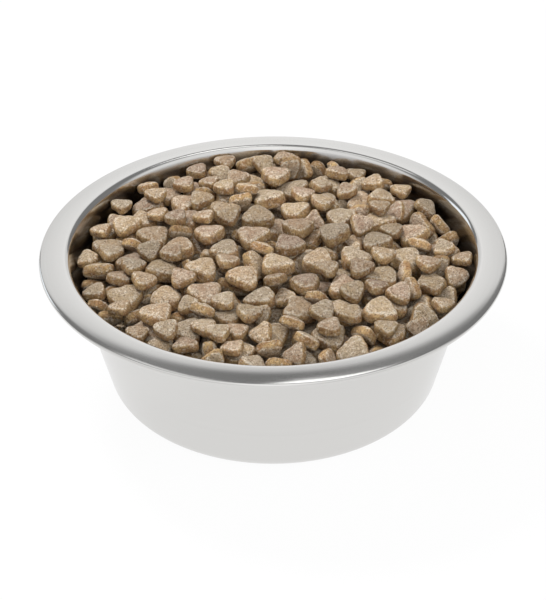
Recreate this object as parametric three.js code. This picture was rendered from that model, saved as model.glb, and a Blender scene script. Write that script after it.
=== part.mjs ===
import * as THREE from "three";

// A spun stainless-steel pet bowl filled with dry kibble. Millimetres, +Z up.
// The origin is the middle of the bowl's base, on the surface that it stands on.

// Driving dimensions of the bowl
const bowlHeight = 69;
const rimDiameter = 210;
const sheetThickness = 0.7;
const wallTaperDegrees = 13.8;
const baseCornerRadius = 9;
const mouthFlareRadius = 120;
const mouthFlareDegrees = 6;
const crestRadius = 2.3;
const flangeWidth = 10.8;
const flangeStartDegrees = 1.5;
const flangeEndDegrees = 11.5;
const rolledEdgeRadius = 1.2;
const rolledEdgeTurnDegrees = 210;
const bowlSegments = 72;
const cornerSteps = 6;
const flareSteps = 2;
const crestSteps = 5;
const flangeSteps = 3;
const rollSteps = 7;

// Driving dimensions of the food
const kibbleWidth = 14;
const kibbleThickness = 7.2;
const kibbleCount = 58;
const heapDepthAtWall = 16.5;
const heapDepthAtCentre = 4.5;
const largestTiltDegrees = 13;
const turnsTried = 12;
const nudge = 1;
const leastGainByNudge = 0.2;
const sizeSpread = 0.06;
const pieceClearance = 0.3;
const wallClearance = 0.6;

const steel = new THREE.MeshStandardMaterial({ color: 0xd6d5d1, roughness: 0.28, metalness: 1 });
const biscuit = new THREE.MeshStandardMaterial({ color: 0xa98a66, roughness: 0.95, metalness: 0 });

// A section through the sheet, drawn along its middle line. Each point keeps its
// heading, so that both faces of the sheet can be set off from it.
class SheetPath {
  constructor(radius, height) {
    this.r = radius;
    this.z = height;
    this.heading = 0;
    this.points = [{ r: radius, z: height, heading: 0 }];
  }
  add() {
    this.points.push({ r: this.r, z: this.z, heading: this.heading });
    return this;
  }
  line(length) {
    this.r += length * Math.cos(this.heading);
    this.z += length * Math.sin(this.heading);
    return this.add();
  }
  arc(radius, turn, steps) {
    const side = Math.sign(turn);
    const centreR = this.r - side * radius * Math.sin(this.heading);
    const centreZ = this.z + side * radius * Math.cos(this.heading);
    for (let step = 0; step < steps; step++) {
      this.heading += turn / steps;
      this.r = centreR + side * radius * Math.sin(this.heading);
      this.z = centreZ - side * radius * Math.cos(this.heading);
      this.add();
    }
    return this;
  }
  // The line a distance to the left of the path: the bowl's inside, or its outside if negative
  offset(distance, points = this.points) {
    return points.map(
      (p) => new THREE.Vector2(p.r - distance * Math.sin(p.heading), p.z + distance * Math.cos(p.heading)),
    );
  }
}

// Sizes that follow from the driving ones
const half = sheetThickness / 2;
const taper = THREE.MathUtils.degToRad(wallTaperDegrees);
const wallHeading = Math.PI / 2 - taper;
const mouthFlare = THREE.MathUtils.degToRad(mouthFlareDegrees);
const mouthHeading = wallHeading - mouthFlare;
const flangeStart = THREE.MathUtils.degToRad(flangeStartDegrees);
const flangeEnd = THREE.MathUtils.degToRad(flangeEndDegrees);
const cornerMiddle = baseCornerRadius - half;
const flareMiddle = mouthFlareRadius + half;
const crestMiddle = crestRadius + half;
const rollMiddle = rolledEdgeRadius - half;
const rimRadius = rimDiameter / 2;
const crestTopRadius = rimRadius - flangeWidth;
const bendRise =
  cornerMiddle * (1 - Math.cos(wallHeading)) +
  flareMiddle * (Math.cos(mouthHeading) - Math.cos(wallHeading)) +
  crestMiddle * (1 - Math.cos(mouthHeading));
const bendReach =
  cornerMiddle * Math.sin(wallHeading) +
  flareMiddle * (Math.sin(wallHeading) - Math.sin(mouthHeading)) +
  crestMiddle * Math.sin(mouthHeading);
const wallLength = (bowlHeight - sheetThickness - bendRise) / Math.sin(wallHeading);
const baseRadius = crestTopRadius - bendReach - wallLength * Math.cos(wallHeading);
const flangeStartRadius = crestTopRadius + crestMiddle * Math.sin(flangeStart);
const flangeEndRadius = rimRadius - half - rollMiddle * (1 - Math.sin(flangeEnd));
const flangeRadius = (flangeEndRadius - flangeStartRadius) / (Math.sin(flangeEnd) - Math.sin(flangeStart));

// A lathed solid stands along +Y, so it is turned upright. Its outline runs from the
// axis along the outside and back to the axis.
function lathed(outline, segments) {
  const geometry = new THREE.LatheGeometry(outline, segments);
  geometry.rotateX(Math.PI / 2);
  return geometry;
}

function bowlGeometry() {
  const sheet = new SheetPath(0, half)
    .line(baseRadius)
    .arc(cornerMiddle, wallHeading, cornerSteps)
    .line(wallLength)
    .arc(flareMiddle, -mouthFlare, flareSteps)
    .arc(crestMiddle, -mouthHeading - flangeStart, crestSteps)
    .arc(flangeRadius, flangeStart - flangeEnd, flangeSteps)
    .arc(rollMiddle, -THREE.MathUtils.degToRad(rolledEdgeTurnDegrees), rollSteps);
  const outside = sheet.offset(-half);
  const inside = sheet.offset(half).reverse();
  return lathed([...outside, ...inside], bowlSegments);
}

// The packed food under the loose layer: its edge stands this high against the wall,
// and its top is a low dome
const bedEdgeHeight = bowlHeight - heapDepthAtWall;
const bedCentreHeight = bowlHeight - heapDepthAtCentre;
const bedGap = half + pieceClearance;
const bedWallLength =
  (bedEdgeHeight - half - cornerMiddle * (1 - Math.cos(wallHeading)) - bedGap * Math.cos(wallHeading)) /
  Math.sin(wallHeading);
const bedSide = new SheetPath(0, half)
  .line(baseRadius)
  .arc(cornerMiddle, wallHeading, cornerSteps)
  .line(bedWallLength);
const bedOutline = bedSide.offset(bedGap);
const bedRadius = bedOutline[bedOutline.length - 1].x;

function bedHeight(radius) {
  const share = radius / bedRadius;
  return bedCentreHeight - (bedCentreHeight - bedEdgeHeight) * share * share;
}

function bedGeometry() {
  const rings = 6;
  const dome = [];
  for (let ring = rings - 1; ring >= 0; ring--) {
    const radius = (bedRadius * ring) / rings;
    dome.push(new THREE.Vector2(radius, bedHeight(radius)));
  }
  return lathed([...bedOutline, ...dome], bowlSegments / 2);
}

// One kibble: a rounded triangle in plan, slightly domed on both faces. In polar form
// the first wave draws out its three corners, and the second flattens the sides between.
const cornerWave = 0.17;
const sideWave = 0.022;
const domePower = 2.6;

function planShare(angle) {
  return (1 + cornerWave * Math.cos(3 * angle) + sideWave * Math.cos(6 * angle)) / (1 + sideWave);
}

function kibblePoint(share, angle, side, width, thickness) {
  const reach = (width / 2) * planShare(angle) * share;
  const rise = (thickness / 2) * Math.pow(Math.max(0, 1 - Math.pow(share, domePower)), 1 / domePower);
  return new THREE.Vector3(reach * Math.cos(angle), reach * Math.sin(angle), side * rise);
}

function kibbleGeometry(width, thickness) {
  const around = 12;
  const shares = [0.6, 0.88, 1, 0.88, 0.6];
  const positions = [0, 0, thickness / 2];
  shares.forEach((share, ring) => {
    const side = ring < 2 ? 1 : -1;
    for (let i = 0; i < around; i++) {
      const point = kibblePoint(share, (2 * Math.PI * i) / around, side, width, thickness);
      positions.push(point.x, point.y, point.z);
    }
  });
  positions.push(0, 0, -thickness / 2);
  const bottom = positions.length / 3 - 1;
  const at = (ring, i) => 1 + ring * around + (i % around);
  const faces = [];
  for (let i = 0; i < around; i++) {
    faces.push(0, at(0, i), at(0, i + 1));
    for (let ring = 0; ring < shares.length - 1; ring++) {
      faces.push(at(ring, i), at(ring + 1, i), at(ring + 1, i + 1));
      faces.push(at(ring, i), at(ring + 1, i + 1), at(ring, i + 1));
    }
    faces.push(at(shares.length - 1, i), bottom, at(shares.length - 1, i + 1));
  }
  const geometry = new THREE.BufferGeometry();
  geometry.setAttribute("position", new THREE.Float32BufferAttribute(positions, 3));
  geometry.setIndex(faces);
  return geometry;
}

// The surface of the heap as it grows: the bed, and then the kibble laid so far,
// kept as heights on a fine grid
const gridStep = 0.3;
const gridSide = Math.ceil(rimDiameter / gridStep);
const laidHeights = new Float64Array(gridSide * gridSide).fill(-Infinity);

function gridIndex(x, y) {
  const column = Math.round((x + rimRadius) / gridStep);
  const row = Math.round((y + rimRadius) / gridStep);
  return row * gridSide + column;
}

function heapHeight(x, y) {
  return Math.max(bedHeight(Math.hypot(x, y)), laidHeights[gridIndex(x, y)]);
}

// How high a kibble's middle lies when it rests on the heap with the clearance
function restHeight(points, place) {
  let highest = -Infinity;
  for (const point of points) {
    highest = Math.max(highest, heapHeight(place.x + point.x, place.y + point.y) - point.z);
  }
  return highest + pieceClearance;
}

function layInHeap(points, place) {
  for (const point of points) {
    const cell = gridIndex(place.x + point.x, place.y + point.y);
    for (const near of [0, -1, 1, -gridSide, gridSide]) {
      laidHeights[cell + near] = Math.max(laidHeights[cell + near], place.z + point.z);
    }
  }
}

// Points all over a turned kibble, close enough together for the grid
function surfacePoints(width, thickness, turn) {
  const around = 120;
  const rings = 20;
  const points = [];
  for (const side of [1, -1]) {
    for (let ring = 0; ring <= rings; ring++) {
      for (let i = 0; i < around; i++) {
        const share = Math.sin((Math.PI / 2) * (ring / rings));
        const point = kibblePoint(share, (2 * Math.PI * i) / around, side, width, thickness);
        points.push(point.applyQuaternion(turn));
      }
    }
  }
  return points;
}

// Repeatable random numbers from 0 to 1
function randomSource(seed) {
  let state = seed;
  return () => {
    state = (state * 1664525 + 1013904223) % 4294967296;
    return state / 4294967296;
  };
}

const bowl = new THREE.Group();

const bowlShell = new THREE.Mesh(bowlGeometry(), steel);
bowlShell.name = "bowl";
bowl.add(bowlShell);

const kibbleBed = new THREE.Mesh(bedGeometry(), biscuit);
kibbleBed.name = "kibble_bed";
bowl.add(kibbleBed);

// The loose top layer: each kibble is set down near-flat on what lies below it,
// evenly spread from the middle of the heap out to the wall
const random = randomSource(11);
const goldenAngle = Math.PI * (3 - Math.sqrt(5));
const kibbleReach = (kibbleWidth / 2) * planShare(0) * (1 + sizeSpread);
const layerRadius = bedRadius - wallClearance - kibbleReach;
const up = new THREE.Vector3(0, 0, 1);
const nudges = [new THREE.Vector3()];
for (const distance of [nudge, 2 * nudge]) {
  for (let angle = 0; angle < 2 * Math.PI; angle += Math.PI / 4) {
    nudges.push(new THREE.Vector3(distance * Math.cos(angle), distance * Math.sin(angle), 0));
  }
}
for (let i = 0; i < kibbleCount; i++) {
  const width = kibbleWidth * (1 + sizeSpread * (2 * random() - 1));
  const thickness = kibbleThickness * (1 + 2 * sizeSpread * (2 * random() - 1));
  const radius = layerRadius * Math.sqrt((i + 0.5) / (kibbleCount - 0.5));
  const place = new THREE.Vector3(radius * Math.cos(i * goldenAngle), radius * Math.sin(i * goldenAngle), 0);
  const tiltAxisAngle = 2 * Math.PI * random();
  const tiltAxis = new THREE.Vector3(Math.cos(tiltAxisAngle), Math.sin(tiltAxisAngle), 0);
  const tilt = THREE.MathUtils.degToRad(largestTiltDegrees) * Math.sqrt(random());
  const tilted = new THREE.Quaternion().setFromAxisAngle(tiltAxis, tilt);
  const firstTurn = 2 * Math.PI * random();

  // It settles where, and the way round in which, it lies lowest among the others
  let settled = { height: Infinity };
  for (let n = 0; n < turnsTried; n++) {
    const angle = firstTurn + (2 * Math.PI * n) / (3 * turnsTried);
    const turn = tilted.clone().multiply(new THREE.Quaternion().setFromAxisAngle(up, angle));
    const points = surfacePoints(width, thickness, turn);
    for (const aside of nudges) {
      const tried = place.clone().add(aside);
      if (tried.length() > layerRadius) continue;
      tried.z = restHeight(points, tried);
      const height = tried.z + leastGainByNudge * (aside.length() / nudge);
      if (height < settled.height) settled = { height, turn, points, place: tried };
    }
  }
  layInHeap(settled.points, settled.place);

  const kibble = new THREE.Mesh(kibbleGeometry(width, thickness), biscuit);
  kibble.name = `kibble_${String(i + 1).padStart(2, "0")}`;
  kibble.position.copy(settled.place);
  kibble.quaternion.copy(settled.turn);
  bowl.add(kibble);
}

export default bowl;
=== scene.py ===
import math

import bmesh
import bpy
import numpy as np
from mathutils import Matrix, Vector


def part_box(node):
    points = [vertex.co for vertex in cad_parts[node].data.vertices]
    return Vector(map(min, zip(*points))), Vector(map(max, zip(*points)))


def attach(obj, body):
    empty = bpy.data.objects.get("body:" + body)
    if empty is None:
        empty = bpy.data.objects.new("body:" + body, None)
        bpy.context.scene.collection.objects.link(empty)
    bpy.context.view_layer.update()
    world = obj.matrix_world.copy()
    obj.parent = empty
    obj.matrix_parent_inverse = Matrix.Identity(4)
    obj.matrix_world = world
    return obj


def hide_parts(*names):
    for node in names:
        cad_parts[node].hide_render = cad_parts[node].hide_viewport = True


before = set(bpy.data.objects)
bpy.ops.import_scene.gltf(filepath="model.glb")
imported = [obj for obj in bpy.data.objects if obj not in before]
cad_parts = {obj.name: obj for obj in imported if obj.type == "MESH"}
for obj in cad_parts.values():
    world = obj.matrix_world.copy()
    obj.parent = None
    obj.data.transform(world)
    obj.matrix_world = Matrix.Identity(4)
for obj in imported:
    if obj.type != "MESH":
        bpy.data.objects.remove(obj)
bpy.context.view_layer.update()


# The photograph's view: a long lens above the near edge of the rim, with the
# bowl's middle a little above the middle of the picture.
BASE_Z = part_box("bowl")[0].z
MOUTH_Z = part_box("bowl")[1].z
CAMERA_DISTANCE = 0.7875
CAMERA_ELEVATION = math.radians(32.05)
CAMERA_TURN_Z = BASE_Z + 0.0655
CAMERA_AIM_Z = BASE_Z + 0.0389
CAMERA_AIM_X = -0.00016
CAMERA_ROLL = math.radians(-0.4)
CAMERA_LENS = 104.65

camera_data = bpy.data.cameras.new("camera")
camera_data.lens = CAMERA_LENS
camera = bpy.data.objects.new("camera", camera_data)
bpy.context.collection.objects.link(camera)
camera.location = (
    0,
    -CAMERA_DISTANCE * math.cos(CAMERA_ELEVATION),
    CAMERA_TURN_Z + CAMERA_DISTANCE * math.sin(CAMERA_ELEVATION),
)
aim = Vector((CAMERA_AIM_X, 0, CAMERA_AIM_Z)) - camera.location
camera.rotation_euler = aim.to_track_quat("-Z", "Y").to_euler()
camera.rotation_euler.rotate_axis("Z", CAMERA_ROLL)
bpy.context.scene.camera = camera


# The bowl is one round blank of stainless sheet, drawn to a tapered dish and
# spun at the edge: a small crest at the mouth, a wide flange and a rolled edge.
# Below the mouth the inside is painted darker and made duller: painted shade for the dark gap it
# mirrors.
SHEET = 0.0007
WALL_TAPER = math.radians(13.8)
BASE_CORNER_RADIUS = 0.009
FLARE_RADIUS = 0.12
FLARE_TURN = math.radians(6)
CREST_RADIUS = 0.0023
FLANGE_WIDTH = 0.0108
FLANGE_START = math.radians(1.5)
FLANGE_SLOPE = math.radians(11.5)
ROLL_RADIUS = 0.0012
ROLL_TURN = math.radians(210)
ROUND_THE_BOWL = 288
RIM_RADIUS = round(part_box("bowl")[1].x, 4)
BOWL_HEIGHT = 0.069
# Painted shade: the inside wall below the mouth is darkened, standing in for the shaded gap it
# mirrors.
PAINTED_SHADE_TOP = MOUTH_Z - 0.0016
PAINTED_SHADE_FADE = 0.0035
PAINTED_SHADE_REACH = RIM_RADIUS - FLANGE_WIDTH
PAINTED_SHADE_COLOUR = (0.15, 0.14, 0.135, 1)
PAINTED_SHADE_ROUGHNESS = 0.1
STEEL_COLOUR = (0.77, 0.765, 0.75, 1)
RING_COLOUR = (0.71, 0.70, 0.685, 1)
STEEL_SMOOTHEST = 0.1
STEEL_ROUGHEST = 0.145


class SheetPath:
    """The middle line of the sheet in section, as points of radius, height and heading."""

    def __init__(self, height):
        self.r, self.z, self.heading = 0.0, height, 0.0
        self.points = [(self.r, self.z, self.heading)]

    def line(self, length, steps):
        for _ in range(steps):
            self.r += length / steps * math.cos(self.heading)
            self.z += length / steps * math.sin(self.heading)
            self.points.append((self.r, self.z, self.heading))

    def arc(self, radius, turn, steps):
        side = math.copysign(1, turn)
        centre_r = self.r - side * radius * math.sin(self.heading)
        centre_z = self.z + side * radius * math.cos(self.heading)
        for _ in range(steps):
            self.heading += turn / steps
            self.r = centre_r + side * radius * math.sin(self.heading)
            self.z = centre_z - side * radius * math.cos(self.heading)
            self.points.append((self.r, self.z, self.heading))

    def offset(self, distance):
        return [(r - distance * math.sin(a), z + distance * math.cos(a)) for r, z, a in self.points]


def sheet_section():
    """The drawn sheet's middle line, from the middle of the base to the end of the rolled edge."""
    wall = math.pi / 2 - WALL_TAPER
    mouth = wall - FLARE_TURN
    corner = BASE_CORNER_RADIUS - SHEET / 2
    flare = FLARE_RADIUS + SHEET / 2
    crest = CREST_RADIUS + SHEET / 2
    roll = ROLL_RADIUS - SHEET / 2
    crest_top = RIM_RADIUS - FLANGE_WIDTH
    bend_rise = corner * (1 - math.cos(wall))
    bend_rise += flare * (math.cos(mouth) - math.cos(wall))
    bend_rise += crest * (1 - math.cos(mouth))
    bend_reach = corner * math.sin(wall)
    bend_reach += flare * (math.sin(wall) - math.sin(mouth))
    bend_reach += crest * math.sin(mouth)
    wall_length = (BOWL_HEIGHT - SHEET - bend_rise) / math.sin(wall)
    base = crest_top - bend_reach - wall_length * math.cos(wall)
    flange_end = RIM_RADIUS - SHEET / 2 - roll * (1 - math.sin(FLANGE_SLOPE))
    flange_from = crest_top + crest * math.sin(FLANGE_START)
    dome = (flange_end - flange_from) / (math.sin(FLANGE_SLOPE) - math.sin(FLANGE_START))
    section = SheetPath(BASE_Z + SHEET / 2)
    section.line(base, steps=6)
    section.arc(corner, wall, steps=12)
    section.line(wall_length, steps=10)
    section.arc(flare, -FLARE_TURN, steps=8)
    section.arc(crest, -mouth - FLANGE_START, steps=16)
    section.arc(dome, FLANGE_START - FLANGE_SLOPE, steps=8)
    section.arc(roll, -ROLL_TURN, steps=18)
    return section


def spun_mesh(name, outline, around):
    """A closed outline turned about the bowl's axis. It starts and ends on the axis."""
    mesh = bmesh.new()
    rings = []
    turns = [2 * math.pi * i / around for i in range(around)]
    for r, z in outline[1:-1]:
        rings.append([mesh.verts.new((r * math.cos(a), r * math.sin(a), z)) for a in turns])
    first = mesh.verts.new((0, 0, outline[0][1]))
    last = mesh.verts.new((0, 0, outline[-1][1]))
    for i in range(around):
        j = (i + 1) % around
        mesh.faces.new((first, rings[0][j], rings[0][i]))
        mesh.faces.new((last, rings[-1][i], rings[-1][j]))
        for lower, upper in zip(rings, rings[1:]):
            mesh.faces.new((lower[i], lower[j], upper[j], upper[i]))
    data = bpy.data.meshes.new(name)
    mesh.to_mesh(data)
    mesh.free()
    data.shade_smooth()
    piece = bpy.data.objects.new(name, data)
    bpy.context.collection.objects.link(piece)
    return piece


def new_material(name):
    """An empty node material with its output and one shader, and a short way to add nodes."""
    material = bpy.data.materials.new(name)
    material.use_nodes = True
    nodes, links = material.node_tree.nodes, material.node_tree.links
    shader = nodes["Principled BSDF"]

    def add(kind, **values):
        node = nodes.new(kind)
        for key, value in values.items():
            if key in node.inputs:
                node.inputs[key].default_value = value
            else:
                setattr(node, key, value)
        return node

    return material, shader, add, links.new


def drawn_steel():
    """Satin stainless: fine rings from spinning and polishing; painted shade darkens and dulls the
    inside.
    """
    material, shader, add, link = new_material("drawn_steel")
    place = add("ShaderNodeTexCoord")
    parts = add("ShaderNodeSeparateXYZ")
    link(place.outputs["Object"], parts.inputs[0])
    squared = [add("ShaderNodeMath", operation="MULTIPLY") for _ in range(2)]
    for node, axis in zip(squared, ("X", "Y")):
        link(parts.outputs[axis], node.inputs[0])
        link(parts.outputs[axis], node.inputs[1])
    summed = add("ShaderNodeMath", operation="ADD")
    link(squared[0].outputs[0], summed.inputs[0])
    link(squared[1].outputs[0], summed.inputs[1])
    radius = add("ShaderNodeMath", operation="SQRT")
    link(summed.outputs[0], radius.inputs[0])
    # The spinning lines follow the radius on flat stretches and the height on the wall
    across = add("ShaderNodeCombineXYZ")
    link(radius.outputs[0], across.inputs["X"])
    link(parts.outputs["Z"], across.inputs["Y"])
    rings = add("ShaderNodeTexNoise", Scale=2600.0, Detail=3.0, Roughness=0.6)
    link(across.outputs[0], rings.inputs["Vector"])
    sheen = add("ShaderNodeTexNoise", Scale=14.0, Detail=2.0)
    link(place.outputs["Object"], sheen.inputs["Vector"])
    rough = add("ShaderNodeMapRange")
    rough.inputs["To Min"].default_value = STEEL_SMOOTHEST
    rough.inputs["To Max"].default_value = STEEL_ROUGHEST
    link(sheen.outputs["Fac"], rough.inputs["Value"])
    painted_shade = add("ShaderNodeAttribute", attribute_name="painted_shade")
    duller = add("ShaderNodeMath", operation="MULTIPLY_ADD")
    duller.inputs[1].default_value = PAINTED_SHADE_ROUGHNESS
    link(painted_shade.outputs["Fac"], duller.inputs[0])
    link(rough.outputs[0], duller.inputs[2])
    link(duller.outputs[0], shader.inputs["Roughness"])
    tint = add("ShaderNodeMix", data_type="RGBA")
    tint.inputs["A"].default_value = STEEL_COLOUR
    tint.inputs["B"].default_value = RING_COLOUR
    link(rings.outputs["Fac"], tint.inputs["Factor"])
    # Painted shade: the inside below the mouth is blended towards a dark colour.
    shade_painted_on = add("ShaderNodeMix", data_type="RGBA")
    shade_painted_on.inputs["B"].default_value = PAINTED_SHADE_COLOUR
    link(painted_shade.outputs["Fac"], shade_painted_on.inputs["Factor"])
    link(tint.outputs["Result"], shade_painted_on.inputs["A"])
    link(shade_painted_on.outputs["Result"], shader.inputs["Base Color"])
    bump = add("ShaderNodeBump", Strength=0.05, Distance=0.0001)
    link(rings.outputs["Fac"], bump.inputs["Height"])
    link(bump.outputs[0], shader.inputs["Normal"])
    shader.inputs["Metallic"].default_value = 1.0
    return material


def painted_shade_at(r, z):
    """How much painted shade lies on a point of the inside face, from 0 to 1."""
    return min(max((PAINTED_SHADE_TOP - z) / PAINTED_SHADE_FADE, 0), 1) if r < PAINTED_SHADE_REACH else 0.0


section = sheet_section()
outside = section.offset(-SHEET / 2)
inside = section.offset(SHEET / 2)
steel_bowl = spun_mesh("steel_bowl", outside + inside[::-1], ROUND_THE_BOWL)
# The painted shade lies on the inside face only.
painted_shade_at_point = [0.0] * len(outside) + [painted_shade_at(r, z) for r, z in inside[::-1]]
painted_shade_rings = np.repeat(painted_shade_at_point[1:-1], ROUND_THE_BOWL)
painted_shade_values = np.concatenate([painted_shade_rings, [painted_shade_at_point[0], painted_shade_at_point[-1]]]).astype(np.float32)
steel_bowl.data.attributes.new("painted_shade", "FLOAT", "POINT").data.foreach_set("value", painted_shade_values)
steel_bowl.data.materials.append(drawn_steel())
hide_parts("bowl")
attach(steel_bowl, "root")


# The loose kibble on top of the heap, one for each CAD kibble. Each is a triangle
# stamped from dough, then baked and puffed: three soft corners, two low domes, a
# band round the side and a crumbly, porous surface. It lies free on the rest.
KIBBLE_WIDTH = 0.014
KIBBLE_THICKNESS = 0.0072
CORNER_WAVE = 0.17
CORNER_WAVE_RANGE = (0.8, 1.1)
SIDE_WAVE = 0.022
OVAL_WAVE = 0.05
SKEW_WAVE = 0.03
ANY_HEADING = 6.28
SIDE_SLANT = 0.06
SQUARENESS = (3.6, 5.0)
EDGE_THINNING = (0.08, 0.24)
BEND = 6.0
SWELLS = ((0.0002, 0.0085, 4), (0.00011, 0.0036, 6), (0.00006, 0.0018, 8))
WAVE_SPREAD = (0.7, 1.4)
SIDE_BAND = 0.86
SIDE_BLEND = 0.3
SHAPE_COUNT = 14
LOOSE_SHADES = (0.74, 1.12)
CRUST_TONES = (
    (0.0, (0.385, 0.31, 0.22, 1)),
    (0.35, (0.445, 0.33, 0.2, 1)),
    (0.7, (0.395, 0.27, 0.165, 1)),
    (1.0, (0.365, 0.25, 0.18, 1)),
)
DARK_OCHRE = (0.36, 0.21, 0.10)
PALE_OCHRE = (0.5, 0.34, 0.165)
PALE_MOTTLE = (0.53, 0.43, 0.325)
# Flour dust, made pale enough to serve also as a painted highlight on the edges.
DUST_AND_HIGHLIGHT_COLOUR = (0.8, 0.735, 0.62)
BRAN_SPECK = (0.14, 0.08, 0.045)
EDGE_DUST_AND_HIGHLIGHT = 0.3


def sphere_points(cuts):
    """The corners and triangles of an evenly divided ball of radius 1."""
    ball = bmesh.new()
    bmesh.ops.create_icosphere(ball, subdivisions=cuts, radius=1)
    corners = np.array([v.co for v in ball.verts])
    triangles = np.array([[v.index for v in f.verts] for f in ball.faces])
    ball.free()
    return corners, triangles


def waves(points, length, count, rng):
    """A smooth random height, mostly from -1 to 1, at each point: bumps about a length apart."""
    height = np.zeros(len(points))
    for _ in range(count):
        way = rng.normal(size=3)
        way *= 2 * math.pi / (length * np.linalg.norm(way)) * rng.uniform(*WAVE_SPREAD)
        height += np.sin(points @ way + rng.uniform(0, 2 * math.pi))
    return height / math.sqrt(count)


def kibble_shape(directions, width, thickness, rng):
    """One kibble's surface in its own frame, lying flat with a corner along +X."""
    x, y, z = directions.T
    angle = np.arctan2(y, x)
    drawn_out = CORNER_WAVE * rng.uniform(*CORNER_WAVE_RANGE)
    plan = (1 + drawn_out * np.cos(3 * angle) + SIDE_WAVE * np.cos(6 * angle)) / (1 + SIDE_WAVE)
    plan += OVAL_WAVE * rng.uniform(-1, 1) * np.cos(2 * angle + rng.uniform(0, ANY_HEADING))
    plan += SKEW_WAVE * rng.uniform(-1, 1) * np.cos(4 * angle + rng.uniform(0, ANY_HEADING))
    reach = width / 2 * plan * (1 + SIDE_SLANT * rng.uniform(-1, 1) * z)
    squareness = rng.uniform(*SQUARENESS)
    flat = (np.hypot(x, y) / reach) ** squareness
    high = (np.abs(z) / (thickness / 2)) ** squareness
    points = directions * ((flat + high) ** (-1 / squareness))[:, None]
    share = np.hypot(points[:, 0], points[:, 1]) / reach
    points[:, 2] *= 1 - rng.uniform(*EDGE_THINNING) * share**2
    lean = rng.normal(size=2)
    lean /= np.linalg.norm(lean)
    across = points[:, :2] @ lean
    points[:, 2] += BEND * rng.uniform(-1, 1) * across**2
    swell = np.zeros(len(points))
    for height, length, count in SWELLS:
        swell += height * waves(points, length, count, rng)
    return points + directions * swell[:, None]


def side_share(points, thickness):
    """How far each point of an untilted kibble is round on its side, from 0 to 1."""
    height = np.abs(points[:, 2]) / (thickness / 2)
    return np.clip((SIDE_BAND - height) / SIDE_BLEND, 0, 1)


# The shapes of the poured kibble are drawn here, before those of the loose ones
BALL, BALL_FACES = sphere_points(cuts=4)
KIBBLE_RNG = np.random.default_rng(5)
SHAPES = []
for _ in range(SHAPE_COUNT):
    SHAPES.append(kibble_shape(BALL, KIBBLE_WIDTH, KIBBLE_THICKNESS, KIBBLE_RNG))


def kibble_mesh(name, placed):
    """One mesh of many kibble, each given as its points, their side shares, a tone and a shade."""
    count = len(BALL)
    points = np.concatenate([p for p, _, _, _ in placed])
    faces = np.concatenate([BALL_FACES + i * count for i in range(len(placed))])
    data = bpy.data.meshes.new(name)
    data.vertices.add(len(points))
    data.vertices.foreach_set("co", points.astype(np.float32).ravel())
    data.loops.add(faces.size)
    data.loops.foreach_set("vertex_index", faces.astype(np.int32).ravel())
    data.polygons.add(len(faces))
    data.polygons.foreach_set("loop_start", np.arange(0, faces.size, 3, dtype=np.int32))
    data.update(calc_edges=True)
    data.shade_smooth()
    for part, values in (
        ("side", np.concatenate([side for _, side, _, _ in placed])),
        ("tone", np.repeat([tone for _, _, tone, _ in placed], count)),
        ("shade", np.repeat([shade for _, _, _, shade in placed], count)),
    ):
        attribute = data.attributes.new(part, "FLOAT", "POINT")
        attribute.data.foreach_set("value", values.astype(np.float32))
    piece = bpy.data.objects.new(name, data)
    bpy.context.collection.objects.link(piece)
    return piece


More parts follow.
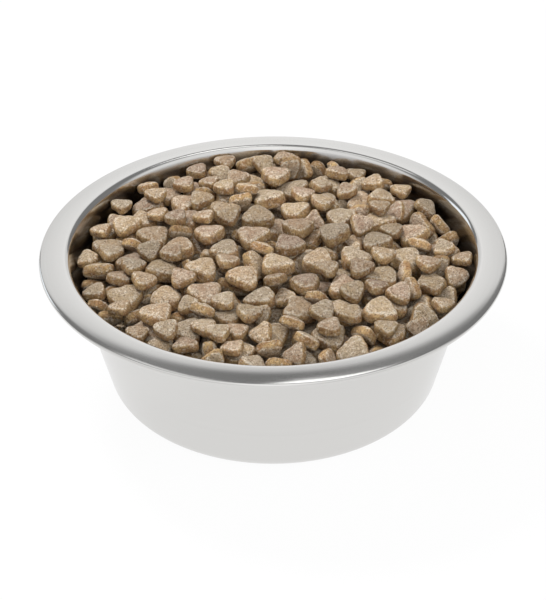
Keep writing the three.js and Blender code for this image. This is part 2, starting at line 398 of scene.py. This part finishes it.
def baked_crumb():
    """Dry biscuit: dusty tan faces, ochre sides, pores, grit, bran specks and painted edge
    highlights.
    """
    material, shader, add, link = new_material("baked_crumb")
    place = add("ShaderNodeTexCoord")
    side = add("ShaderNodeAttribute", attribute_name="side")
    tone = add("ShaderNodeAttribute", attribute_name="tone")
    shade = add("ShaderNodeAttribute", attribute_name="shade")

    def noise(scale, detail, rough=0.6):
        node = add("ShaderNodeTexNoise", Scale=scale, Detail=detail, Roughness=rough)
        link(place.outputs["Object"], node.inputs["Vector"])
        return node.outputs["Fac"]

    def mixed(factor, a, b, blend="MIX"):
        node = add("ShaderNodeMix", data_type="RGBA", blend_type=blend)
        for socket, value in (("Factor", factor), ("A", a), ("B", b)):
            if isinstance(value, tuple):
                node.inputs[socket].default_value = (*value, 1)
            elif isinstance(value, float):
                node.inputs[socket].default_value = value
            else:
                link(value, node.inputs[socket])
        return node.outputs["Result"]

    def ramp(value, low, high, to_low=0.0, to_high=1.0):
        node = add("ShaderNodeMapRange", interpolation_type="SMOOTHSTEP")
        node.inputs["From Min"].default_value = low
        node.inputs["From Max"].default_value = high
        node.inputs["To Min"].default_value = to_low
        node.inputs["To Max"].default_value = to_high
        link(value, node.inputs["Value"])
        return node.outputs[0]

    kind = add("ShaderNodeValToRGB")
    stops = kind.color_ramp.elements
    stops[0].position, stops[0].color = CRUST_TONES[0]
    stops[1].position, stops[1].color = CRUST_TONES[-1]
    for position, colour in CRUST_TONES[1:-1]:
        stops.new(position).color = colour
    link(tone.outputs["Fac"], kind.inputs["Fac"])
    baked_darker = ramp(noise(scale=260.0, detail=2.0), low=0.35, high=0.65)
    ochre = mixed(baked_darker, DARK_OCHRE, PALE_OCHRE)
    mottle = ramp(noise(scale=330.0, detail=3.0), low=0.38, high=0.68, to_high=0.7)
    face = mixed(mottle, kind.outputs["Color"], PALE_MOTTLE)
    crust = mixed(side.outputs["Fac"], face, ochre)
    # The edges between face and side are lightened: partly flour dust, partly a painted highlight.
    on_edge = add("ShaderNodeMath", operation="PINGPONG")
    on_edge.inputs[1].default_value = 0.5
    link(side.outputs["Fac"], on_edge.inputs[0])
    rubbed_and_lit = add("ShaderNodeMath", operation="MULTIPLY_ADD")
    rubbed_and_lit.inputs[1].default_value = EDGE_DUST_AND_HIGHLIGHT
    link(on_edge.outputs[0], rubbed_and_lit.inputs[0])
    link(noise(scale=700.0, detail=4.0, rough=0.7), rubbed_and_lit.inputs[2])
    dust_and_highlight = ramp(rubbed_and_lit.outputs[0], low=0.5, high=0.7, to_high=0.62)
    dusted_and_highlit = mixed(dust_and_highlight, crust, DUST_AND_HIGHLIGHT_COLOUR)
    bran = noise(scale=1300.0, detail=4.0, rough=0.75)
    specks = ramp(bran, low=0.39, high=0.46, to_low=0.85, to_high=0.0)
    specked = mixed(specks, dusted_and_highlit, BRAN_SPECK)
    grit = noise(scale=1900.0, detail=3.0, rough=0.7)
    gritty = ramp(grit, low=0.37, high=0.63, to_low=0.72, to_high=1.22)
    grained = mixed(1.0, specked, gritty, "MULTIPLY")
    shaded = mixed(1.0, grained, shade.outputs["Color"], "MULTIPLY")
    link(shaded, shader.inputs["Base Color"])
    grain = noise(scale=800.0, detail=6.0, rough=0.8)
    bump = add("ShaderNodeBump", Strength=1.0, Distance=0.0009)
    link(grain, bump.inputs["Height"])
    link(bump.outputs[0], shader.inputs["Normal"])
    shader.inputs["Roughness"].default_value = 0.9
    shader.inputs["Specular IOR Level"].default_value = 0.2
    return material


CRUMB = baked_crumb()


def pose_of(node):
    """The middle, the turn and the size of a CAD kibble, from its corners."""
    corners = np.array([v.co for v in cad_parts[node].data.vertices])
    corners = np.unique(corners.round(7), axis=0)
    middle = corners.mean(0)
    spread = corners - middle
    upright = np.linalg.svd(spread, full_matrices=False)[2][2]
    upright *= math.copysign(1, upright[2])
    flat = spread - np.outer(spread @ upright, upright)
    reach = np.linalg.norm(flat, axis=1)
    ahead = flat[reach.argmax()] / reach.max()
    turn = np.array([ahead, np.cross(upright, ahead), upright])
    width = 2 * reach.max() * (1 + SIDE_WAVE) / (1 + CORNER_WAVE + SIDE_WAVE)
    return middle, turn, width, np.ptp(spread @ upright)


loose_kibble = sorted(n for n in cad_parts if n.startswith("kibble_") and n != "kibble_bed")
loose_places = []
for node in loose_kibble:
    middle, turn, width, thickness = pose_of(node)
    shape = kibble_shape(BALL, width, thickness, KIBBLE_RNG)
    points = shape @ turn + middle
    loose_places.append(points)
    side = side_share(shape, thickness)
    tone = KIBBLE_RNG.random()
    shade = KIBBLE_RNG.uniform(*LOOSE_SHADES)
    top_kibble = kibble_mesh("loose_" + node, [(points, side, tone, shade)])
    top_kibble.data.materials.append(CRUMB)
    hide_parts(node)
    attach(top_kibble, "root")


# The rest of the food is the same baked kibble, poured into the bowl. Each one lies
# free, where it comes to rest lowest on those below. Only the few layers that can
# be seen are made.
CELL = 0.0007
SPAN = 0.106
GRID = 2 * int(SPAN / CELL) + 1
AXIS = (np.arange(GRID) - GRID // 2) * CELL
EAST, NORTH = np.meshgrid(AXIS, AXIS, indexing="ij")
FROM_AXIS = np.hypot(EAST, NORTH)
TOUCH = 0.0001
PATCH = 29
SLIDE = 6
SLIDE_STEP = 2
TURNS_EACH = 60
MOST_LEAN = math.radians(80)
LEAN_POWER = 1.1
UPSIDE_DOWN_SHARE = 0.5
STEEP = math.cos(math.radians(38))
STEEP_SHARE = 0.35
USUAL_SIZES = (0.94, 1.1)
SMALL_SIZES = (0.68, 0.94)
USUAL_SHARE = 0.88
POURED_SHADES = (0.74, 1.14)
POUR_DEPTH = 0.021
POUR_RADIUS = 0.092
POUR_SNUGNESS = 0.5
HOLLOW_SNUGNESS = 2.0
HOLLOW_CELLS = 11
HOLLOW_REACH = 0.087
HOLLOW_SKIP = 0.003
HOLLOW_SKIP_CELLS = 3
ABOVE_HEAP = 0.001
ABOVE_HOLLOWS = 0.0022
KIBBLE_A_BATCH = 38
POUR_RNG = np.random.default_rng(9)
FOOD_BOTTOM = BASE_Z + 0.012
HEAP_AT_MIDDLE = MOUTH_Z + 0.0025
HEAP_FLATNESS = 4
DROP_AT_FRONT = 0.003
DROP_AT_BACK = 0.0035
DROP_AT_SIDE = 0.0105
UNEVENNESS = 0.0008

wall_line = [(r, z) for r, z in inside if FOOD_BOTTOM < z and r < RIM_RADIUS - FLANGE_WIDTH]
wall_r, wall_z = np.array(wall_line).T
outward = np.minimum(FROM_AXIS / wall_r.max(), 1)
northing = NORTH / np.maximum(FROM_AXIS, CELL)
drop_at_wall = DROP_AT_SIDE + (DROP_AT_FRONT - DROP_AT_SIDE) * np.maximum(-northing, 0) ** 2
drop_at_wall += (DROP_AT_BACK - DROP_AT_SIDE) * np.maximum(northing, 0) ** 2
spots = np.stack([EAST.ravel(), NORTH.ravel(), np.zeros(EAST.size)], 1)
uneven = UNEVENNESS * waves(spots, length=0.035, count=6, rng=POUR_RNG).reshape(EAST.shape)
heap_top = HEAP_AT_MIDDLE - drop_at_wall * outward**HEAP_FLATNESS + np.minimum(uneven, UNEVENNESS)


def random_turn(rng):
    """A rotation with every heading alike, and more kibble near flat than on edge."""
    spin = rng.uniform(0, 2 * math.pi)
    lean = MOST_LEAN * rng.random() ** LEAN_POWER
    way = rng.uniform(0, 2 * math.pi)
    c, s = math.cos(spin), math.sin(spin)
    about_z = np.array([[c, -s, 0], [s, c, 0], [0, 0, 1]])
    k = np.array([math.cos(way), math.sin(way), 0])
    cross = np.array([[0, 0, k[1]], [0, 0, -k[0]], [-k[1], k[0], 0]])
    tilt = np.eye(3) + math.sin(lean) * cross + (1 - math.cos(lean)) * cross @ cross
    if rng.random() < UPSIDE_DOWN_SHARE:
        about_z = about_z @ np.diag([1, -1, -1])
    return tilt @ about_z


def close_points(points):
    """The corners of a kibble's triangles with the middles of their sides and of the triangles."""
    corners = points[BALL_FACES]
    between = (corners + np.roll(corners, 1, axis=1)) / 2
    return np.concatenate([points, corners.mean(1), between.reshape(-1, 3)])


def patches(points):
    """The lowest and highest surface of a placed kibble over each cell, round its middle."""
    points = close_points(points)
    cells = np.rint(points[:, :2] / CELL).astype(int) + PATCH // 2
    spots = cells[:, 0] * PATCH + cells[:, 1]
    low = np.full(PATCH * PATCH, np.inf)
    high = np.full(PATCH * PATCH, -np.inf)
    np.minimum.at(low, spots, points[:, 2])
    np.maximum.at(high, spots, points[:, 2])
    return low.reshape(PATCH, PATCH), high.reshape(PATCH, PATCH)


lows, highs, stock, steep = [], [], [], []
for number, shape in enumerate(SHAPES):
    for _ in range(TURNS_EACH):
        turn = random_turn(POUR_RNG)
        sizes = USUAL_SIZES if POUR_RNG.random() < USUAL_SHARE else SMALL_SIZES
        size = POUR_RNG.uniform(*sizes)
        low, high = patches(shape @ turn.T * size)
        lows.append(low)
        highs.append(high)
        stock.append((number, turn, size))
        steep.append(abs(turn[2, 2]) < STEEP)
lows, highs = np.array(lows), np.array(highs)
covers = np.isfinite(lows)
areas = covers.sum((1, 2))
flat_lows = np.where(covers, lows, 0).sum((1, 2))
every_turn = np.arange(len(stock))
steep_turns = np.flatnonzero(steep)


def settle(surface, roof, i, j, choices, snug):
    """Lays one kibble where it lies low and snug near a cell, if it stays under the roof."""
    half = PATCH // 2
    margin = half + SLIDE
    near = (slice(i - margin, i + margin + 1), slice(j - margin, j + margin + 1))
    view = np.lib.stride_tricks.sliding_window_view
    under = view(surface[near], (PATCH, PATCH))[::SLIDE_STEP, ::SLIDE_STEP]
    over = view(roof[near], (PATCH, PATCH))[::SLIDE_STEP, ::SLIDE_STEP]
    turns = steep_turns if POUR_RNG.random() < STEEP_SHARE else every_turn
    picks = POUR_RNG.choice(turns, choices, replace=False)
    rest = (under[None] - lows[picks][:, None, None]).max((3, 4)) + TOUCH
    room = (over[None] - highs[picks][:, None, None]).min((3, 4)) - rest
    below = np.tensordot(covers[picks].astype(float), under, axes=([1, 2], [2, 3]))
    areas_here = areas[picks][:, None, None]
    gap = (flat_lows[picks][:, None, None] + rest * areas_here - below) / areas_here
    score = np.where(room >= 0, rest + snug * gap, np.inf)
    n, di, dj = np.unravel_index(score.argmin(), score.shape)
    if not np.isfinite(score[n, di, dj]):
        return None
    z, pick = rest[n, di, dj], picks[n]
    ci = i - SLIDE + SLIDE_STEP * di
    cj = j - SLIDE + SLIDE_STEP * dj
    window = (slice(ci - half, ci + half + 1), slice(cj - half, cj + half + 1))
    surface[window] = np.maximum(surface[window], highs[pick] + z)
    number, turn, size = stock[pick]
    points = SHAPES[number] @ turn.T * size + (AXIS[ci], AXIS[cj], z)
    side = side_share(SHAPES[number], KIBBLE_THICKNESS)
    tone = POUR_RNG.random()
    shade = POUR_RNG.uniform(*POURED_SHADES)
    return points, side, tone, shade


def pour(surface, roof, tries, choices):
    """Drops kibble at random, and returns those that found room under the roof."""
    poured = []
    for _ in range(tries):
        r = POUR_RADIUS * math.sqrt(POUR_RNG.random())
        a = POUR_RNG.uniform(0, 2 * math.pi)
        i, j = (int(round(r * part / CELL)) + GRID // 2 for part in (math.cos(a), math.sin(a)))
        poured.append(settle(surface, roof, i, j, choices, POUR_SNUGNESS))
    return [kibble for kibble in poured if kibble]


def fill_hollows(surface, level, roof, tries, choices):
    """Lays kibble in the deepest hollow under a level, one after another."""
    poured = []
    n, skip = HOLLOW_CELLS, HOLLOW_SKIP_CELLS
    trim = slice(n // 2, -(n // 2))
    skipped = np.where(FROM_AXIS < HOLLOW_REACH, 0.0, np.inf)
    for _ in range(tries):
        sums = np.pad(np.minimum(surface, level).cumsum(0).cumsum(1), ((1, 0), (1, 0)))
        mean = (sums[n:, n:] - sums[:-n, n:] - sums[n:, :-n] + sums[:-n, :-n]) / n**2
        depth = level[trim, trim] - mean - skipped[trim, trim]
        i, j = np.array(np.unravel_index(depth.argmax(), depth.shape)) + n // 2
        kibble = settle(surface, roof, i, j, choices, HOLLOW_SNUGNESS)
        if kibble:
            poured.append(kibble)
        else:
            skipped[i - skip : i + skip + 1, j - skip : j + skip + 1] += HOLLOW_SKIP
    return poured


wall_top = np.interp(FROM_AXIS, wall_r, wall_z, left=0, right=1)
surface = np.maximum(heap_top - POUR_DEPTH, wall_top)
roof = heap_top.copy()
cad_top = np.full_like(roof, -1.0)
for place in loose_places:
    points = close_points(place)
    cells = np.rint(points[:, :2] / CELL).astype(int) + GRID // 2
    np.minimum.at(roof, (cells[:, 0], cells[:, 1]), points[:, 2] - TOUCH)
    np.maximum.at(cad_top, (cells[:, 0], cells[:, 1]), points[:, 2])
filling = pour(surface, roof, tries=4500, choices=5)
surface = np.maximum(surface, cad_top)
filling += pour(surface, heap_top + ABOVE_HEAP, tries=2500, choices=5)
filling += fill_hollows(surface, heap_top, heap_top + ABOVE_HOLLOWS, tries=500, choices=30)

for start in range(0, len(filling), KIBBLE_A_BATCH):
    name = f"poured_kibble_{start // KIBBLE_A_BATCH + 1:02d}"
    batch = kibble_mesh(name, filling[start : start + KIBBLE_A_BATCH])
    batch.data.materials.append(CRUMB)
    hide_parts("kibble_bed")
    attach(batch, "root")


# Under the layers that can be seen, the same baked food is packed by its own weight
# into one lumpy mass, down to the bottom of the bowl. It shows only as dark gaps.
PACKED_DEPTH = 0.014
PACKED_GAP = 0.0012
PACKED_RINGS = 60
PACKED_AROUND = 180
LUMP_HEIGHT = 0.0016
LUMP_LENGTH = 0.011
CRUMB_HEIGHT = 0.0007
CRUMB_LENGTH = 0.005
# The packed mass takes a low shade value, so its colour is darkened: painted shade in the gaps.
PACKED_LOOK = {"side": 0.7, "tone": 0.5, "shade": 0.42}

packed = bmesh.new()
packed_reach = np.interp(HEAP_AT_MIDDLE - DROP_AT_SIDE - PACKED_DEPTH, wall_z, wall_r) - PACKED_GAP
lumps_rng = np.random.default_rng(3)
turns = 2 * math.pi * np.arange(PACKED_AROUND) / PACKED_AROUND
rings = []
for ring in range(1, PACKED_RINGS + 1):
    r = packed_reach * ring / PACKED_RINGS
    rings.append(np.stack([r * np.cos(turns), r * np.sin(turns), np.zeros(PACKED_AROUND)], 1))
top = np.concatenate(rings)
cells = np.rint(top[:, :2] / CELL).astype(int) + GRID // 2
top[:, 2] = heap_top[cells[:, 0], cells[:, 1]] - PACKED_DEPTH
lumps = LUMP_HEIGHT * waves(top, LUMP_LENGTH, count=9, rng=lumps_rng)
lumps += CRUMB_HEIGHT * waves(top, CRUMB_LENGTH, count=9, rng=lumps_rng)
top[:, 2] += lumps
top_rings = []
for start in range(0, len(top), PACKED_AROUND):
    top_rings.append([packed.verts.new(p) for p in top[start : start + PACKED_AROUND]])
low_reach = np.interp(FOOD_BOTTOM, wall_z, wall_r) - PACKED_GAP
low_places = [(low_reach * math.cos(turn), low_reach * math.sin(turn), FOOD_BOTTOM) for turn in turns]
low_ring = [packed.verts.new(place) for place in low_places]
peak = packed.verts.new((0, 0, top[:PACKED_AROUND, 2].mean()))
pit = packed.verts.new((0, 0, FOOD_BOTTOM))
for i in range(PACKED_AROUND):
    j = (i + 1) % PACKED_AROUND
    packed.faces.new((peak, top_rings[0][i], top_rings[0][j]))
    packed.faces.new((pit, low_ring[j], low_ring[i]))
    for inner, outer in zip(top_rings, top_rings[1:] + [low_ring]):
        packed.faces.new((inner[i], outer[i], outer[j], inner[j]))
packed_data = bpy.data.meshes.new("packed_kibble")
packed.to_mesh(packed_data)
packed.free()
packed_data.shade_smooth()
for part, value in PACKED_LOOK.items():
    values = np.full(len(packed_data.vertices), value, dtype=np.float32)
    packed_data.attributes.new(part, "FLOAT", "POINT").data.foreach_set("value", values)
packed_kibble = bpy.data.objects.new("packed_kibble", packed_data)
bpy.context.collection.objects.link(packed_kibble)
packed_kibble.data.materials.append(CRUMB)
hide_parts("kibble_bed")
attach(packed_kibble, "root")


# The floor is a wide sheet of white paper that the bowl stands on. The eye sees it
# white as far as it runs, the metal sees it slightly less bright, and only a trace of
# the bowl's shadow stays on it.
FLOOR_REACH = 3.0
FLOOR_GAP = 0.0001
FLOOR_GLOW = 0.95
FLOOR_GLOW_IN_METAL = 0.9
PAPER_COLOUR = (0.88, 0.88, 0.88, 1)

floor_data = bpy.data.meshes.new("floor")
corners = [(x * FLOOR_REACH, y * FLOOR_REACH, 0) for x, y in ((-1, -1), (1, -1), (1, 1), (-1, 1))]
floor_data.from_pydata(corners, [], [(0, 1, 2, 3)])
floor = bpy.data.objects.new("floor", floor_data)
bpy.context.collection.objects.link(floor)
floor.location.z = BASE_Z - FLOOR_GAP
paper, shader, add, link = new_material("white_paper")
shader.inputs["Base Color"].default_value = PAPER_COLOUR
shader.inputs["Roughness"].default_value = 0.9
rays = add("ShaderNodeLightPath")
seen = add("ShaderNodeMath", operation="ADD")
link(rays.outputs["Is Camera Ray"], seen.inputs[0])
link(rays.outputs["Is Glossy Ray"], seen.inputs[1])
share = add("ShaderNodeMath", operation="MULTIPLY")
share.inputs[1].default_value = FLOOR_GLOW
link(seen.outputs[0], share.inputs[0])
level = add("ShaderNodeMapRange")
level.inputs["To Min"].default_value = 1.0
level.inputs["To Max"].default_value = FLOOR_GLOW_IN_METAL
link(rays.outputs["Is Glossy Ray"], level.inputs["Value"])
glow = add("ShaderNodeEmission")
link(level.outputs[0], glow.inputs["Strength"])
blend = add("ShaderNodeMixShader")
link(share.outputs[0], blend.inputs[0])
link(shader.outputs[0], blend.inputs[1])
link(glow.outputs[0], blend.inputs[2])
link(blend.outputs[0], paper.node_tree.nodes["Material Output"].inputs["Surface"])
floor_data.materials.append(paper)


# The studio is a white room with a dark ceiling, which comes lower to each side. The
# back wall is slightly darker near the top of its middle. Each edge is given as the
# sine of its angle up, sideways or back, as seen from the bowl.
CEILING_EDGE = (0.672, 0.76)
CEILING_LIGHT = 0.29
ARCH_MIDDLE = 0.03
ARCH_POWER = 4.0
ARCH_DROP = 9.4
DARKER_REACH = 0.17
DARKER_BY = 0.23
DARKER_EDGE = (0.6, 0.655)
LOW_WALL_EDGE = (0.3, 0.5)
LOW_WALL_LIGHT = 0.95
HIGH_WALL_EDGE = (0.57, 0.65)
HIGH_WALL_LIGHT = 0.93
FRONT_EDGE = (0.2, 0.6)
FRONT_LIGHT = (0.9, 1.1)
BACK_EDGE = (-0.2, 0.2)
SIDE_EDGE = (0.02, 0.4)
SIDE_LIGHT = 0.82

world = bpy.data.worlds.new("studio")
bpy.context.scene.world = world
world.use_nodes = True
nodes, link = world.node_tree.nodes, world.node_tree.links.new


def room_step(value, low, high, at_low, at_high):
    """A brightness that passes smoothly from one level to another as the value rises."""
    node = nodes.new("ShaderNodeMapRange")
    node.interpolation_type = "SMOOTHSTEP"
    node.inputs["From Min"].default_value = low
    node.inputs["From Max"].default_value = high
    node.inputs["To Min"].default_value = at_low
    node.inputs["To Max"].default_value = at_high
    link(value, node.inputs["Value"])
    return node.outputs[0]


def room_math(operation, a, b):
    """One step of arithmetic on two numbers of the room."""
    node = nodes.new("ShaderNodeMath")
    node.operation = operation
    for socket, value in zip(node.inputs, (a, b)):
        if isinstance(value, float):
            socket.default_value = value
        else:
            link(value, socket)
    return node.outputs[0]


def room_mix(factor, a, b):
    """A blend of two brightnesses of the room."""
    node = nodes.new("ShaderNodeMix")
    for socket, value in (("Factor", factor), ("A", a), ("B", b)):
        if isinstance(value, float):
            node.inputs[socket].default_value = value
        else:
            link(value, node.inputs[socket])
    return node.outputs["Result"]


way = nodes.new("ShaderNodeTexCoord").outputs["Generated"]
split = nodes.new("ShaderNodeSeparateXYZ")
link(way, split.inputs[0])
height, depth = split.outputs["Z"], split.outputs["Y"]
sideways = room_math("ABSOLUTE", split.outputs["X"], 0.0)
from_middle = room_math("ADD", split.outputs["X"], ARCH_MIDDLE)
arched = room_math("MULTIPLY", room_math("POWER", from_middle, ARCH_POWER), ARCH_DROP)
ceiling = room_step(room_math("ADD", height, arched), *CEILING_EDGE, 1.0, CEILING_LIGHT)
near_middle = room_step(sideways, 0.0, DARKER_REACH, DARKER_BY, 0.0)
near_top = room_step(height, *DARKER_EDGE, 0.0, 1.0)
middle_lit = room_math("SUBTRACT", 1.0, room_math("MULTIPLY", near_middle, near_top))
low_wall = room_step(height, *LOW_WALL_EDGE, LOW_WALL_LIGHT, 1.0)
high_wall = room_step(height, *HIGH_WALL_EDGE, 1.0, HIGH_WALL_LIGHT)
wall_lit = room_math("MULTIPLY", low_wall, high_wall)
back = room_math("MULTIPLY", room_math("MULTIPLY", wall_lit, ceiling), middle_lit)
front = room_step(height, *FRONT_EDGE, *FRONT_LIGHT)
at_back = room_step(depth, *BACK_EDGE, 0.0, 1.0)
sides_lit = room_step(sideways, *SIDE_EDGE, 1.0, SIDE_LIGHT)
studio = room_math("MULTIPLY", room_mix(at_back, front, back), sides_lit)
rays = nodes.new("ShaderNodeLightPath")
shown = room_mix(rays.outputs["Is Camera Ray"], studio, 1.0)
link(shown, nodes["Background"].inputs["Strength"])
nodes["Background"].inputs["Color"].default_value = (1, 1, 1, 1)


# The lamps are square soft boxes that face the bowl. The metal shows the two high
# ones at the back and the cool window at the left. It doesn't show the key, from the
# back left, or the weak fill in front, which light the food.
WINDOW_COLOUR = (0.86, 0.93, 1.0)


def soft_lamp(name, place, size, watts):
    """A square soft box that faces the middle of the bowl's mouth."""
    light = bpy.data.lights.new(name, "AREA")
    light.energy, light.size = watts, size
    lamp = bpy.data.objects.new(name, light)
    bpy.context.collection.objects.link(lamp)
    lamp.location = place
    facing = Vector((0, 0, MOUTH_Z)) - lamp.location
    lamp.rotation_euler = facing.to_track_quat("-Z", "Y").to_euler()
    return lamp


soft_lamp("high_box_left", (-0.46, 0.46, 1.4), size=0.5, watts=0.5)
soft_lamp("high_box_right", (0.2, 0.55, 1.45), size=0.4, watts=0.7)
window = soft_lamp("left_window", (-1.3, 1.0, 0.5), size=0.7, watts=1.6)
window.data.color = WINDOW_COLOUR
key = soft_lamp("key", (-0.5, 0.5, 1.05), size=0.3, watts=11.8)
key.visible_glossy = False
fill = soft_lamp("front_fill", (0.3, -0.5, 0.75), size=0.5, watts=2.7)
fill.visible_glossy = False

bpy.context.scene.view_settings.view_transform = "Standard"
